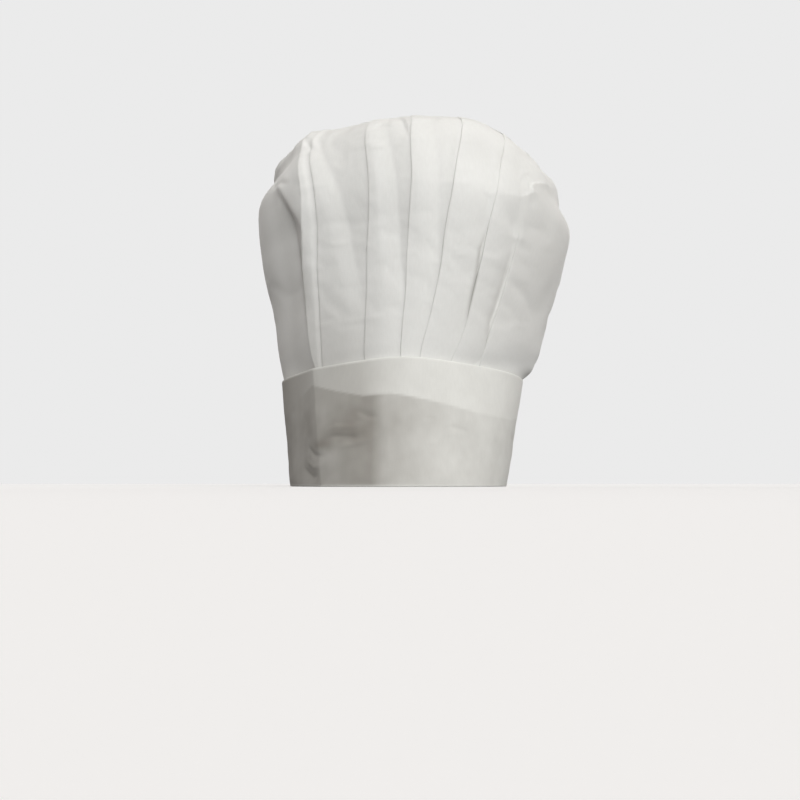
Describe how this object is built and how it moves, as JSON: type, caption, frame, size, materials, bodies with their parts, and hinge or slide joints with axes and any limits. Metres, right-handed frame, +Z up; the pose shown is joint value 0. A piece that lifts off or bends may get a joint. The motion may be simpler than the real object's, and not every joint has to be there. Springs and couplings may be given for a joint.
{
  "type": "chef hat",
  "caption": "Tall white pleated chef hat: a straight folded head band and a soft crown that fans out above it, turns over a crumpled shoulder and is gathered in the middle of the top.",
  "frame": {"origin": "centre of the bounding box, on the plane of the rim that the hat stands on", "axes": "+Z up through the crown; the front of the hat faces -Y; +X is the wearer's left, towards which the crown leans"},
  "size_m": [0.2343, 0.2268, 0.252],
  "materials": {
    "crown_cloth": "matte white non-woven cloth, thin enough to let a little light through",
    "band_cloth": "matte white non-woven cloth, folded double and slightly mottled"
  },
  "bodies": {
    "root": {"crown": "crown_cloth", "band": "band_cloth"}
  },
  "joints": []
}
